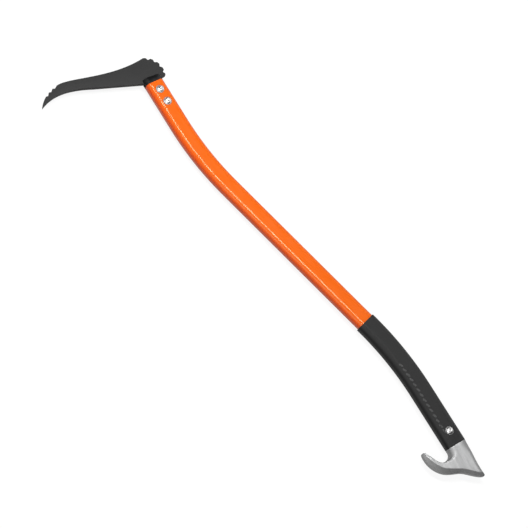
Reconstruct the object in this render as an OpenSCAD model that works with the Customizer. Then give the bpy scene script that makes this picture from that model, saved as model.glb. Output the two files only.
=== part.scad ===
// Hand log pick: a toothed steel pick on a bent flat-oval tube, with a rubber grip and a cast hook pommel.
// The tool lies on its side. X runs from the tip to the handle, Y along the handle to the head, Z up.
// The origin is the middle of the whole outline, on the surface that the tool lies on.

/* [Handle tube] */
// Width of the flat-oval tube, in the plane of its bends
tube_w = 30; // [27:0.5:36]
// Thickness of the flat-oval tube
tube_t = 20; // [18:0.5:26]
// Outer corner radius of the tube
tube_corner_r = 8; // [5:0.5:8.5]
// Wall of the tube
tube_wall = 2; // [1.5:0.25:3]
// Straight run from the head end of the tube to the upper bend
head_straight = 77; // [65:1:150]
// Straight run between the two bends
mid_straight = 294; // [200:1:400]
// Straight run from the lower bend to the pommel
grip_straight = 94; // [60:1:160]
// Angle of each bend
bend_angle = 14.3; // [6:0.1:20]
// Radius of each bend, at the middle of the tube
bend_r = 490; // [300:5:800]

/* [Pick blade] */
// Reach of the tip in front of the handle's centre line
pick_reach = 175; // [150:1:220]
// Height of the tip over the head end of the tube
tip_rise = 34.5; // [28:0.5:42]
// Thickness of the plate
blade_t = 6; // [4:0.25:8]
// Thickness left at the tip
tip_t = 2.5; // [1.5:0.25:4]
// Length of nose over which the plate thins to the tip
taper_l = 60; // [30:1:90]
// Length of the curved nose along the handle's square
nose_l = 49; // [42:1:60]
// Height of the nose's top over the tip
nose_rise = 25; // [20:0.5:32]
// Teeth on the nose
nose_teeth = 4; // [2:1:5]
// Depth of the notches between the nose teeth
nose_tooth_depth = 2.5; // [1:0.1:3]
// Radius of the crown over the handle
crown_r = 29; // [26:0.1:31]
// Height of the crown's centre over the head end of the tube
crown_rise = 16.5; // [16:0.1:20]
// Teeth on the crown
crown_teeth = 5; // [3:1:5]
// Depth of the notches between the crown teeth
crown_tooth_depth = 3; // [1:0.1:4]
// Length of tang in the tube
tang_l = 50; // [45:1:62]
// Gap between the blade's shoulders and the end of the tube
shoulder_gap = 1; // [0.5:0.1:2]

/* [Tang liners] */
// Length of liner in the tube
liner_l = 56; // [46:1:64]
// Height of the collar at the pick's side
collar_h = 10.5; // [8:0.5:14]
// Drop of the collar's top from the pick's side to the other
collar_fall = 3; // [0:0.5:6]
// Clearance of the liners, the tang and the spigot in the tube, on each side
tube_fit = 0.15; // [0.05:0.05:0.4]

/* [Fasteners] */
// Shank diameter of the screws
screw_d = 6; // [5:0.5:6]
// Barrel diameter of the sleeve nuts
barrel_d = 8; // [7.5:0.5:9]
// Head diameter of the screws and the sleeve nuts
head_d = 11; // [10:0.5:12]
// Height of the domed heads
head_h = 3; // [2.6:0.1:4]
// Height of the straight rim under the dome
rim_h = 0.5; // [0.2:0.1:1]
// Width of the flat round the hexagon socket
head_flat = 0.4; // [0.2:0.1:0.8]
// Width across the flats of the hexagon sockets
socket_af = 4; // [3:0.5:5]
// Depth of the hexagon sockets
socket_depth = 1.8; // [1:0.1:2]
// Diameter of the washers
washer_d = 13; // [12.5:0.5:14]
// Thickness of the washers
washer_t = 1.2; // [0.8:0.1:2]
// Clearance of the screws and barrels in their holes, on the radius
hole_fit = 0.2; // [0.1:0.05:0.3]
// Running clearance of the screw in its sleeve nut, on the radius
thread_fit = 0.05; // [0.02:0.01:0.1]
// Free length between the screw's end and the floor of its sleeve nut
thread_gap = 2; // [1:0.5:4]
// Distance from the end of the tube to the upper head screw
head_screw_inset = 15; // [10:0.5:18]
// Distance between the two head screws
head_screw_pitch = 22; // [16:0.5:24]
// Distance from the pommel's shoulder to the grip screw
grip_screw_inset = 22; // [12:0.5:28]

/* [Grip sleeve] */
// Wall of the rubber sleeve
grip_wall = 1.7; // [1.2:0.1:4]
// Length of the sleeve on the straight run above the lower bend
grip_lap = 8; // [0:1:60]
// Gap round the washers in the sleeve's screw holes
recess_gap = 0.5; // [0.3:0.1:1.5]

/* [Pommel hook] */
// Depth of the pommel below the end of the tube
pommel_drop = 60; // [54:1:70]
// Narrowing of the pommel's back at its waist
waist_in = 4.6; // [0:0.1:5]
// Narrowing of the pommel's back at its toe
toe_in = 3.4; // [0:0.1:5]
// Thickness to which the pommel thins at its toe
toe_t = 17; // [12:0.5:22]
// Distance from the end of the tube down to the waist
waist_drop = 38; // [25:1:45]
// Radius of the toe's corner
toe_r = 2.5; // [1:0.5:4]
// Length of the flat under the toe
toe_flat = 6; // [4:0.5:10]
// Thickness of the hook
hook_t = 18; // [12:0.5:19]
// Outer radius of the hook
hook_r = 41; // [38:0.5:46]
// Distance from the pommel's centre line to the hook's centre
hook_shift = 14.5; // [10:0.5:18]
// Height of the hook's centre over the end of the tube
hook_rise = 4.5; // [0:0.5:8]
// Height of the hook's beak over the end of the tube
beak_rise = 14; // [6:0.5:16]
// Radius of the throat inside the hook
throat_r = 25; // [20:0.5:26]
// Wall of the hook at its beak
beak_wall = 6.5; // [3:0.5:8]
// Height of the throat's centre over the end of the tube
throat_rise = 12; // [8:0.5:18]
// Fillet between the throat and the pommel's body
throat_fillet = 10; // [4:0.5:12]
// Width of the bevels round the hook and under the pommel
keel_bevel = 4.5; // [2:0.5:6]
// Height of the keel's flat between those bevels
keel_t = 7; // [3:0.5:10]
// Drop of the keel from the hook to the pommel's body
keel_dip = 2.5; // [1:0.5:5]
// Length of the spigot in the tube
spigot_l = 42; // [32:1:58]

/* [Hidden] */
$fn = 96;

// Steps along each curved stretch of the blade's outline
curve_steps = 14;
// Overshoot of every cutting shape past what it cuts
over = 1;
// Reach of the shapes that cut off half of a piece
far = 200;

// The straight runs reach this far into the bends, which are this much fuller all round
seam_lap = 0.5;
seam_step = 0.05;

// Sections
bore_w = tube_w - 2 * tube_wall;
bore_t = tube_t - 2 * tube_wall;
bore_corner_r = tube_corner_r - tube_wall;
core_w = bore_w - 2 * tube_fit;
core_t = bore_t - 2 * tube_fit;
core_corner_r = bore_corner_r - tube_fit;
grip_w = tube_w + 2 * grip_wall;
grip_t = tube_t + 2 * grip_wall;
grip_corner_r = tube_corner_r + grip_wall;

// Stations on the handle's centre line, from the head end of the tube at [0, 0]
upper_bend_start = [0, -head_straight];
upper_bend_centre = upper_bend_start + [bend_r, 0];
mid_start = upper_bend_centre - bend_r * [cos(bend_angle), sin(bend_angle)];
mid_end = mid_start + mid_straight * [sin(bend_angle), -cos(bend_angle)];
lower_bend_centre = mid_end - bend_r * [cos(bend_angle), sin(bend_angle)];
lower_bend_end = lower_bend_centre + [bend_r, 0];
tube_end = lower_bend_end - [0, grip_straight];

// Heights of the fasteners from the middle plane of the tool
face_z = tube_t / 2;
seat_z = face_z + washer_t;
barrel_end_z = blade_t / 2;
head_stations = [[0, -head_screw_inset], [0, -head_screw_inset - head_screw_pitch]];
grip_station = tube_end + [0, grip_screw_inset];

// Blade outline
tip = [-pick_reach, tip_rise];
nose_top = tip + [nose_l, nose_rise];
crown_centre = [-3, crown_rise];
// Angle of the first crown tooth and the angles from tooth to tooth and across half a tooth
crown_first_a = 67.5;
crown_pitch_a = 23;
crown_half_a = 4.5;
crown_start = crown_centre + polar(crown_r, crown_first_a + crown_half_a);
blade_root = [-tube_w / 2 - 0.5, 5.3];
// Places of the nose teeth, as shares of the curve from the tip to the nose's top
nose_first = 0.42;
nose_pitch = 0.14;
nose_notch = 0.05;

// Pommel
pommel_half_w = grip_w / 2;
pommel_half_t = grip_t / 2;
hook_centre = [-hook_shift, hook_rise];
throat_centre = [hook_centre[0] - hook_r + beak_wall + throat_r, throat_rise];
// The throat's wall laps this far into the pommel's body, and ends in a fillet that runs into
// the throat's own arc at the angle fillet_a
wall_lap = 1;
fillet_x = wall_lap - pommel_half_w - throat_fillet;
fillet_reach = throat_r - throat_fillet;
fillet_drop = sqrt(pow(fillet_reach, 2) - pow(fillet_x - throat_centre[0], 2));
fillet_centre = [fillet_x, throat_centre[1] - fillet_drop];
fillet_a = 360 + atan2(-fillet_drop, fillet_x - throat_centre[0]);
// Angle round the hook at which the web leaves its rim, and the web's thickness
web_a = 253;
web_t = keel_t - 1;

// Side view of the pommel's body, from the shoulder round the toe's corner to the keel
toe = [pommel_half_w - toe_in, toe_r - pommel_drop];
keel_top = [-pommel_half_w, hook_rise - hook_r - keel_dip];
keel_foot = [toe[0] - toe_flat, -pommel_drop];
keel_slope = (keel_foot[1] - keel_top[1]) / (keel_foot[0] - keel_top[0]);
body_outline = [
  [-pommel_half_w - over, over], [pommel_half_w, over],
  [pommel_half_w, 0], [pommel_half_w - waist_in, -waist_drop],
  for (a = [0 : -15 : -90]) toe + [-toe_r, 0] + polar(toe_r, a),
  keel_foot, keel_top - over * [1, keel_slope]
];

function polar(r, a) = r * [cos(a), sin(a)];

function bezier(p, t) =
  pow(1 - t, 3) * p[0] + 3 * t * pow(1 - t, 2) * p[1] + 3 * pow(t, 2) * (1 - t) * p[2] + pow(t, 3) * p[3];

// Unit normal of a curve, to the right of its way
function bezier_side(p, t) =
  let (d = bezier(p, t + 0.01) - bezier(p, t - 0.01))
  [d[1], -d[0]] / norm(d);

function bezier_run(p, from, to, steps) =
  [for (i = [0 : steps]) bezier(p, from + (to - from) * i / steps)];

// Curves of the blade's outline: over the nose, along its back, and along its belly
nose_curve = [tip, tip + [8, 13], nose_top - [22, -2], nose_top];
back_curve = [nose_top, nose_top + [30, -3.5], crown_start - [54, 8], crown_start];
belly_curve = [tip, tip + [17, 9], tip + [41, 16.5], tip + [86, -2.5]];

function nose_tooth(i) =
  let (t = nose_first + nose_pitch * i, n = t + nose_notch)
  [bezier(nose_curve, t), bezier(nose_curve, n) + nose_tooth_depth * bezier_side(nose_curve, n)];

function crown_tooth(i) =
  let (a = crown_first_a - crown_pitch_a * i)
  [
    for (k = [1 : -1 : -1]) crown_centre + polar(crown_r, a + k * crown_half_a),
    if (i < crown_teeth - 1) crown_centre + polar(crown_r - crown_tooth_depth, a - crown_pitch_a / 2)
  ];

// Last nose tooth keeps its full width up to the top of the nose
nose_last = nose_first + nose_pitch * (nose_teeth - 1);

blade_outline = [
  each bezier_run(nose_curve, 0, nose_first - nose_notch, 5),
  for (i = [0 : nose_teeth - 2]) each nose_tooth(i),
  each bezier_run(nose_curve, nose_last, 1, 3),
  each bezier_run(back_curve, 1 / curve_steps, 1 - 1 / curve_steps, curve_steps - 2),
  for (i = [0 : crown_teeth - 1]) each crown_tooth(i),
  [tube_w / 2, shoulder_gap],
  [core_w / 2, shoulder_gap],
  [core_w / 2, -tang_l],
  [-core_w / 2, -tang_l],
  [-core_w / 2, blade_root[1] - 1],
  blade_root,
  each bezier_run(belly_curve, 1, 1 / curve_steps, curve_steps - 1)
];

// Middle of the outline and height of the middle plane, which set the part's origin
outline_left = tip[0];
outline_right = tube_end[0] + pommel_half_w;
outline_top = max([for (p = blade_outline) p[1]]);
outline_bottom = tube_end[1] - pommel_drop;
centre_x = (outline_left + outline_right) / 2;
centre_y = (outline_top + outline_bottom) / 2;
lie_z = seat_z + head_h;

// Puts a piece drawn on the tool's own stations into the part's frame
module in_frame() translate([-centre_x, -centre_y, lie_z]) children();

// Flat oval centred on the origin
module flat_oval(w, t, r) {
  square([w - 2 * r, t], center = true);
  square([w, t - 2 * r], center = true);
  for (x = [-1, 1], y = [-1, 1]) translate([x * (w / 2 - r), y * (t / 2 - r)]) circle(r);
}

// Straight prism of a section, from y0 up to y1
module along_y(y0, y1) {
  translate([0, y1, 0]) rotate([90, 0, 0]) linear_extrude(height = y1 - y0) children();
}

// Bent run of the flat oval, round a centre at [0, 0], from the angle 0
module bent_run(w, t, r) {
  rotate_extrude(angle = bend_angle) translate([bend_r, 0])
    flat_oval(w + 2 * seam_step, t + 2 * seam_step, r + seam_step);
}

// Flat oval carried down the handle's lower part, from lap above the bend to past_end beyond the tube
module lower_run(w, t, r, lap, past_end) {
  translate(mid_end) rotate([0, 0, bend_angle]) along_y(-seam_lap, lap) flat_oval(w, t, r);
  translate(lower_bend_centre) bent_run(w, t, r);
  translate(lower_bend_end) along_y(-grip_straight - past_end, seam_lap) flat_oval(w, t, r);
}

// Flat oval carried down the whole handle
module whole_run(w, t, r, past_end) {
  translate(upper_bend_start) along_y(-seam_lap, head_straight + past_end) flat_oval(w, t, r);
  translate(upper_bend_centre) rotate([0, 0, 180]) bent_run(w, t, r);
  lower_run(w, t, r, mid_straight + seam_lap, past_end);
}

// Hole for a screw from the front and its sleeve nut's barrel from the back
module fastener_hole() {
  translate([0, 0, -far]) cylinder(d = barrel_d + 2 * hole_fit, h = far + barrel_end_z);
  cylinder(d = screw_d + 2 * hole_fit, h = far);
}

module head_holes() for (p = head_stations) translate(p) fastener_hole();

// Domed head standing on z = 0: a low rim, a dome and a flat round the hexagon socket
module domed_head() {
  socket_r = socket_af / 2 / cos(30);
  rim_r = head_d / 2;
  flat_r = socket_r + head_flat;
  dome_z = (pow(flat_r, 2) + pow(head_h, 2) - pow(rim_r, 2) - pow(rim_h, 2)) / (2 * (head_h - rim_h));
  difference() {
    intersection() {
      cylinder(r = rim_r, h = head_h);
      translate([0, 0, dome_z]) sphere(norm([rim_r, rim_h - dome_z]));
    }
    translate([0, 0, head_h - socket_depth]) cylinder(r = socket_r, h = socket_depth + over, $fn = 6);
  }
}

// Screw from the front of the tool, at one station
module screw_at(p) {
  translate([p[0], p[1], seat_z]) {
    domed_head();
    translate([0, 0, thread_gap - face_z - seat_z]) cylinder(d = screw_d, h = seat_z + face_z - thread_gap);
  }
}

// Sleeve nut from the back of the tool, at one station
module nut_at(p) {
  translate([p[0], p[1], -seat_z]) {
    mirror([0, 0, 1]) domed_head();
    difference() {
      cylinder(d = barrel_d, h = seat_z + barrel_end_z - hole_fit);
      translate([0, 0, washer_t]) cylinder(d = screw_d + 2 * thread_fit, h = far);
    }
  }
}

// Washer against one face of the tube: side is 1 at the front and -1 at the back
module washer_at(p, side) {
  hole_d = (side > 0 ? screw_d : barrel_d) + 2 * hole_fit;
  translate([p[0], p[1], side > 0 ? face_z : -seat_z]) difference() {
    cylinder(d = washer_d, h = washer_t);
    translate([0, 0, -over]) cylinder(d = hole_d, h = washer_t + 2 * over);
  }
}

module pick_blade() {
  color("#444446") in_frame() difference() {
    intersection() {
      translate([0, 0, -blade_t / 2]) linear_extrude(height = blade_t) polygon(blade_outline);
      along_y(-far, far) polygon([
        [tip[0], -tip_t / 2], [tip[0] + taper_l, -blade_t / 2], [far, -blade_t / 2],
        [far, blade_t / 2], [tip[0] + taper_l, blade_t / 2], [tip[0], tip_t / 2]
      ]);
    }
    head_holes();
  }
}

// Half liner on one face of the tang, with its half of the collar over the tube
module liner_half(side) {
  top_left = collar_h;
  top_right = collar_h - collar_fall;
  difference() {
    intersection() {
      union() {
        along_y(-liner_l, over) flat_oval(core_w, core_t, core_corner_r);
        intersection() {
          along_y(0, top_left) flat_oval(tube_w, tube_t, tube_corner_r);
          translate([0, 0, -tube_t]) linear_extrude(height = 2 * tube_t)
            polygon([[-tube_w, 0], [tube_w, 0], [tube_w / 2, top_right], [-tube_w / 2, top_left]]);
        }
      }
      translate([-tube_w, -far, side > 0 ? blade_t / 2 : -blade_t / 2 - tube_t])
        cube([2 * tube_w, 2 * far, tube_t]);
    }
    head_holes();
  }
}

module liner_front() color("#232527") in_frame() liner_half(1);

module liner_back() color("#232527") in_frame() liner_half(-1);

module handle_tube() {
  color("#f2661c") in_frame() difference() {
    whole_run(tube_w, tube_t, tube_corner_r, 0);
    whole_run(bore_w, bore_t, bore_corner_r, over);
    head_holes();
    translate(grip_station) fastener_hole();
  }
}

module grip_sleeve() {
  color("#38383a") in_frame() difference() {
    lower_run(grip_w, grip_t, grip_corner_r, grip_lap, 0);
    lower_run(tube_w, tube_t, tube_corner_r, grip_lap + over, over);
    translate([grip_station[0], grip_station[1], -far])
      cylinder(d = washer_d + 2 * recess_gap, h = 2 * far);
  }
}

// Disc of the hook, thickest inside its bevelled rim
module hook_disc() {
  rotate_extrude() polygon([
    [0, -hook_t / 2], [hook_r - keel_bevel, -hook_t / 2], [hook_r, -keel_t / 2],
    [hook_r, keel_t / 2], [hook_r - keel_bevel, hook_t / 2], [0, hook_t / 2]
  ]);
}

// Side view of what is cut from the hook's disc: the throat, open to the top, with its fillet
// to the pommel's body, and all that would reach over the tube
module throat() {
  polygon([
    [throat_centre[0] - throat_r, far],
    for (i = [0 : curve_steps]) throat_centre + polar(throat_r, 180 + (fillet_a - 180) * i / curve_steps),
    for (i = [1 : curve_steps]) fillet_centre + polar(throat_fillet, fillet_a + (360 - fillet_a) * i / curve_steps),
    [far, fillet_centre[1]],
    [far, far]
  ]);
}

// Web in the middle plane that fills the dip between the hook's rim and the body's keel
module keel_web() {
  rim = hook_centre + polar(hook_r - over, web_a);
  root = keel_top + [0, over / 2];
  translate([0, 0, -web_t / 2]) linear_extrude(height = web_t)
    polygon([hook_centre, rim, root + (root - rim) / 2]);
}

// Claw of the hook: the disc below the beak, up to the pommel's centre line, less the throat
module hook_claw() {
  difference() {
    intersection() {
      translate(hook_centre) hook_disc();
      translate([-far, -far, -hook_t]) cube([far, far + beak_rise, 2 * hook_t]);
    }
    translate([0, 0, -hook_t]) linear_extrude(height = 2 * hook_t) throat();
  }
}

// Bevel under the pommel's body on one face, a wedge along the line of the keel
module keel_wedge() {
  spread = over * (pommel_half_t - keel_t / 2) / keel_bevel;
  translate(keel_foot) rotate([0, 0, atan(keel_slope)]) rotate([90, 0, 90])
    translate([0, 0, -far / 2]) linear_extrude(height = far)
      polygon([
        [-over, keel_t / 2 - spread],
        [keel_bevel + over, pommel_half_t + spread],
        [-over, pommel_half_t + spread]
      ]);
}

module pommel_body() {
  difference() {
    intersection() {
      along_y(-pommel_drop - over, 0) flat_oval(grip_w, grip_t, grip_corner_r);
      translate([0, 0, -grip_t]) linear_extrude(height = 2 * grip_t) polygon(body_outline);
      translate([-grip_w, 0, 0]) rotate([90, 0, 90]) linear_extrude(height = 2 * grip_w) polygon([
        [over, -pommel_half_t], [over, pommel_half_t],
        [-pommel_drop - over, toe_t / 2], [-pommel_drop - over, -toe_t / 2]
      ]);
    }
    keel_wedge();
    mirror([0, 0, 1]) keel_wedge();
  }
}

module pommel_hook() {
  color("#b9babc") in_frame() translate(tube_end) difference() {
    union() {
      pommel_body();
      hook_claw();
      keel_web();
      along_y(-over, spigot_l) flat_oval(core_w, core_t, core_corner_r);
    }
    translate([0, grip_screw_inset, 0]) fastener_hole();
  }
}

module head_screw_upper() color("#c9cacc") in_frame() screw_at(head_stations[0]);

module head_screw_lower() color("#c9cacc") in_frame() screw_at(head_stations[1]);

module grip_screw() color("#c9cacc") in_frame() screw_at(grip_station);

module head_nut_upper() color("#bfc0c2") in_frame() nut_at(head_stations[0]);

module head_nut_lower() color("#bfc0c2") in_frame() nut_at(head_stations[1]);

module grip_nut() color("#bfc0c2") in_frame() nut_at(grip_station);

module washer_upper_front() color("#8f9193") in_frame() washer_at(head_stations[0], 1);

module washer_upper_back() color("#8f9193") in_frame() washer_at(head_stations[0], -1);

module washer_lower_front() color("#8f9193") in_frame() washer_at(head_stations[1], 1);

module washer_lower_back() color("#8f9193") in_frame() washer_at(head_stations[1], -1);

module washer_grip_front() color("#8f9193") in_frame() washer_at(grip_station, 1);

module washer_grip_back() color("#8f9193") in_frame() washer_at(grip_station, -1);

pick_blade();
liner_front();
liner_back();
handle_tube();
grip_sleeve();
pommel_hook();
head_screw_upper();
head_screw_lower();
grip_screw();
head_nut_upper();
head_nut_lower();
grip_nut();
washer_upper_front();
washer_upper_back();
washer_lower_front();
washer_lower_back();
washer_grip_front();
washer_grip_back();
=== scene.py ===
"""Looks of a hand log pick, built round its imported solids.

The tool lies on its side: a toothed steel pick, clamped by moulded liners and two screws in a bent
flat-oval tube, with a rubber sleeve and a cast hook pommel at the other end. Pieces are drawn on the
tool's own stations, with the head end of the tube at the origin, and are then put into the frame.
All lengths are in metres.
"""
import math

import bmesh
import bpy
import numpy as np
from mathutils import Matrix, Vector


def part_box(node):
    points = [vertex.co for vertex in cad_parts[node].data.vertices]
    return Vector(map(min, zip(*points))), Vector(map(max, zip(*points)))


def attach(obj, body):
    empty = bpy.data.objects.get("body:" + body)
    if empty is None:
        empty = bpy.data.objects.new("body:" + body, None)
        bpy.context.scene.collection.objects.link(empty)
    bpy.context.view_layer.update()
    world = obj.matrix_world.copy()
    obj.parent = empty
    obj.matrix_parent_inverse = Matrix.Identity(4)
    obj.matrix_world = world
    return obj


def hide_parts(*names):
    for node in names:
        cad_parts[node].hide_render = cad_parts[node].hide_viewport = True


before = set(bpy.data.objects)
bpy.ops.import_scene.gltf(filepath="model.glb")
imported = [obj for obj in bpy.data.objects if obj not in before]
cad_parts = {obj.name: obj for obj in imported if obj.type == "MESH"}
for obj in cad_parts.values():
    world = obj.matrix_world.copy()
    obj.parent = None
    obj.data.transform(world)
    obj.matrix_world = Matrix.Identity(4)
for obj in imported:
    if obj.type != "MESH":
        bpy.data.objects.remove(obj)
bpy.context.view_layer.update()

MM = 0.001

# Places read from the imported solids
tube_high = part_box("handle_tube")[1]
collar_low, collar_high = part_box("liner_front")
blade_low, blade_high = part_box("pick_blade")
sleeve_low, sleeve_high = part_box("grip_sleeve")
pommel_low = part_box("pommel_hook")[0]
screw_low, screw_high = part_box("grip_screw")
washer_low, washer_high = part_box("washer_grip_front")
back_washer_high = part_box("washer_grip_back")[1]

# Middle of the tube's head end in the frame, and of its tail end as seen from there
HEAD = Vector(((collar_low.x + collar_high.x) / 2, tube_high.y, (blade_low.z + blade_high.z) / 2))
TAIL = Vector(((screw_low.x + screw_high.x) / 2, sleeve_low.y, HEAD.z)) - HEAD

# Handle tube: straight at the head, a bend, a long straight run, a bend back and straight to the tail
TUBE_W = collar_high.x - collar_low.x
TUBE_T = washer_low.z - back_washer_high.z
TUBE_CORNER = 8 * MM
TUBE_WALL = 2 * MM
TUBE_LIP = 0.4 * MM
HEAD_STRAIGHT = 77 * MM
MID_STRAIGHT = 294 * MM
BEND_R = 490 * MM
BEND_A = math.radians(14.3)
MID_START = Vector((BEND_R * (1 - math.cos(BEND_A)), -HEAD_STRAIGHT - BEND_R * math.sin(BEND_A), 0))
MID_WAY = Vector((math.sin(BEND_A), -math.cos(BEND_A), 0))
MID_END = MID_START + MID_STRAIGHT * MID_WAY
LOWER_CENTRE = MID_END - BEND_R * Vector((math.cos(BEND_A), math.sin(BEND_A), 0))
BEND_END = LOWER_CENTRE + Vector((BEND_R, 0, 0))

# Fineness of the handle's rings, round a corner, across a broad side and along the tube
CORNER_STEPS = 10
TUBE_FLAT_CUTS = 9
SLEEVE_FLAT_CUTS = 17
END_RING = 3 * MM
HEAD_STEPS = 4
BEND_STEPS = 32
MID_STEPS = 8

# Rubber sleeve, which laps over the end of the long straight run
SLEEVE_WALL = (sleeve_high.z - sleeve_low.z - TUBE_T) / 2
SLEEVE_T = sleeve_high.z - sleeve_low.z
SLEEVE_LAP = 8 * MM
SLEEVE_LIP = 0.5 * MM

# Ribs down the sleeve, from its upper end; their middles lie RIB_OUT round the tube's corner
RIB_COUNT = 14
RIB_PITCH = 8.9 * MM
RIB_FIRST = 84 * MM
RIB_L = 10 * MM
RIB_W = 4.5 * MM
RIB_H = 0.6 * MM
RIB_LEAN = math.radians(20)
RIB_OUT = 1.2 * MM

# Pick blade; the crown's teeth have their places and half widths in degrees round its centre
BLADE_T = blade_high.z - blade_low.z
BLADE_EDGE = 0.9 * MM
TIP = Vector((blade_low.x - HEAD.x, 34.5 * MM))
TIP_T = 2.5 * MM
TAPER_L = 60 * MM
TANG_L = 50 * MM
NOSE_TOP = TIP + Vector((49, 25)) * MM
NOSE_NOTCH = 2.5 * MM
CROWN_CENTRE = Vector((-3, 16.5)) * MM
CROWN_R = 29 * MM
CROWN_NOTCH = 3 * MM
CROWN_LEANS = (67.5, 44.5, 21.5, -1.5, -21.5)
CROWN_TOOTH = 4.5
LAST_TOOTH = 3.6
TOOTH_ROUND = 0.8 * MM

# Pommel, from the middle of the tube's tail end
POMMEL_DROP = sleeve_low.y - pommel_low.y
TOE_T = 17 * MM
HOOK_T = 18 * MM
KEEL_T = 7 * MM
HOOK_CENTRE = Vector((-14.5, 4.5)) * MM
HOOK_R = 41 * MM
BEAK_CENTRE = Vector((-51.9, 11.1)) * MM
BEAK_R = 2.9 * MM
FILLET_CENTRE = Vector((-26.7, -2.9)) * MM
FILLET_R = 10 * MM
HOOK_BEVEL = 7.2 * MM
TOE_BEVEL = 5 * MM
THROAT_ROUND = 3.2 * MM
TOE_ROUND = 5.5 * MM
SPIGOT_L = 42 * MM
SPIGOT_ROOT = 6 * MM
HALF_PLATE = 5 * MM
CASTING_GRID = 0.6 * MM

# Moulded liners, whose core and the pommel's spigot both stand off the tube's inside
TUBE_FIT = 0.15 * MM
CORE_GAP = TUBE_WALL + TUBE_FIT
LINER_L = 56 * MM
COLLAR_H = 10.5 * MM
COLLAR_FALL = 2 * MM
COLLAR_ROUND = 0.5 * MM

# Screws, sleeve nuts and washers
HEAD_R = (screw_high.x - screw_low.x) / 2
HEAD_H = 3 * MM
HEAD_RIM = 0.5 * MM
HEAD_CHAMFER = 0.25 * MM
SOCKET_FLATS = 4 * MM
SOCKET_LAND = 0.4 * MM
SOCKET_DEPTH = 1.5 * MM
SOCKET_FLOOR = 1.2 * MM
SHANK_R = 3 * MM
BARREL_R = 4 * MM
BORE_R = SHANK_R + 0.05 * MM
WASHER_R = (washer_high.x - washer_low.x) / 2
WASHER_T = washer_high.z - washer_low.z
WASHER_EDGE = 0.3 * MM
HOLE_FIT = 0.2 * MM
RECESS_FIT = 0.1 * MM
UPPER_SCREW = Vector((0, -15 * MM, 0))
LOWER_SCREW = Vector((0, -37 * MM, 0))
GRIP_SCREW = Vector((TAIL.x, TAIL.y + 22 * MM, 0))

# Middle of the lit space, which the lamps and cards stand round
LIT_MIDDLE = Vector((0.02, 0, HEAD.z))


def plain_material(name, **constants):
    """Material with plain values on its shader's sockets."""
    material = bpy.data.materials.new(name)
    material.use_nodes = True
    shader = material.node_tree.nodes["Principled BSDF"]
    for socket, value in constants.items():
        shader.inputs[socket.replace("_", " ")].default_value = value
    return material


class Finish:
    """A procedural finish on the piece's own coordinates."""

    def __init__(self, name, **constants):
        self.material = plain_material(name, **constants)
        self.tree = self.material.node_tree
        self.shader = self.tree.nodes["Principled BSDF"]
        self.place = self.add("ShaderNodeTexCoord").outputs["Object"]

    def add(self, kind, values=(), **settings):
        """New node with its settings, whose inputs are values or other nodes' outputs."""
        node = self.tree.nodes.new(kind)
        for setting, value in settings.items():
            setattr(node, setting, value)
        for socket, value in dict(values).items():
            self.feed(node.inputs[socket], value)
        return node

    def feed(self, socket, value):
        if isinstance(value, bpy.types.NodeSocket):
            self.tree.links.new(value, socket)
        else:
            socket.default_value = value

    def stretched(self, size, turn=0.0):
        """Coordinates on which one unit is as long as size says, along each axis, in metres."""
        scale = [1 / s for s in size]
        values = {"Vector": self.place, "Scale": scale, "Rotation": (0, 0, turn)}
        return self.add("ShaderNodeMapping", values).outputs["Vector"]

    def noise(self, size, detail=2.0, rough=0.5, turn=0.0):
        """Cloudy pattern, whose patches are about as long as size says along each axis."""
        values = {"Vector": self.stretched(size, turn), "Scale": 1.0, "Detail": detail, "Roughness": rough}
        return self.add("ShaderNodeTexNoise", values).outputs["Fac"]

    def specks(self, size):
        """Rounded cells of about one size."""
        values = {"Vector": self.stretched((size,) * 3), "Scale": 1.0}
        return self.add("ShaderNodeTexVoronoi", values, feature="SMOOTH_F1").outputs["Distance"]

    def attribute(self, name):
        return self.add("ShaderNodeAttribute", attribute_name=name).outputs["Fac"]

    def facing(self, axis):
        """How squarely the surface faces along an axis, either way, from 0 to 1."""
        normal = self.add("ShaderNodeNewGeometry").outputs["Normal"]
        parts = self.add("ShaderNodeSeparateXYZ", {0: normal})
        return self.add("ShaderNodeMath", {0: parts.outputs[axis]}, operation="ABSOLUTE").outputs[0]

    def ramp(self, value, start, end, low=0.0, high=1.0):
        """Value's stretch from start to end, spread smoothly from low to high."""
        values = {"Value": value, "From Min": start, "From Max": end, "To Min": low, "To Max": high}
        return self.add("ShaderNodeMapRange", values, interpolation_type="SMOOTHSTEP").outputs["Result"]

    def multiply(self, a, b):
        return self.add("ShaderNodeMath", {0: a, 1: b}, operation="MULTIPLY").outputs[0]

    def greater(self, a, b):
        return self.add("ShaderNodeMath", {0: a, 1: b}, operation="MAXIMUM").outputs[0]

    def mix(self, share, a, b):
        """Colour a turning into colour b as the share rises."""
        node = self.add("ShaderNodeMix", data_type="RGBA")
        self.feed(node.inputs["Factor"], share)
        self.feed(node.inputs[6], a)
        self.feed(node.inputs[7], b)
        return node.outputs[2]

    def bump(self, height, depth, under=None):
        """Surface detail of that depth, over another bump."""
        values = {"Height": height, "Distance": depth, "Strength": 1.0}
        node = self.add("ShaderNodeBump", values)
        if under is not None:
            self.feed(node.inputs["Normal"], under)
        return node.outputs["Normal"]

    def set(self, **sockets):
        for socket, value in sockets.items():
            self.feed(self.shader.inputs[socket.replace("_", " ")], value)


def grey(value, warmth=0.0):
    return (value * (1 + warmth), value, value * (1 - warmth), 1)


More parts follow.
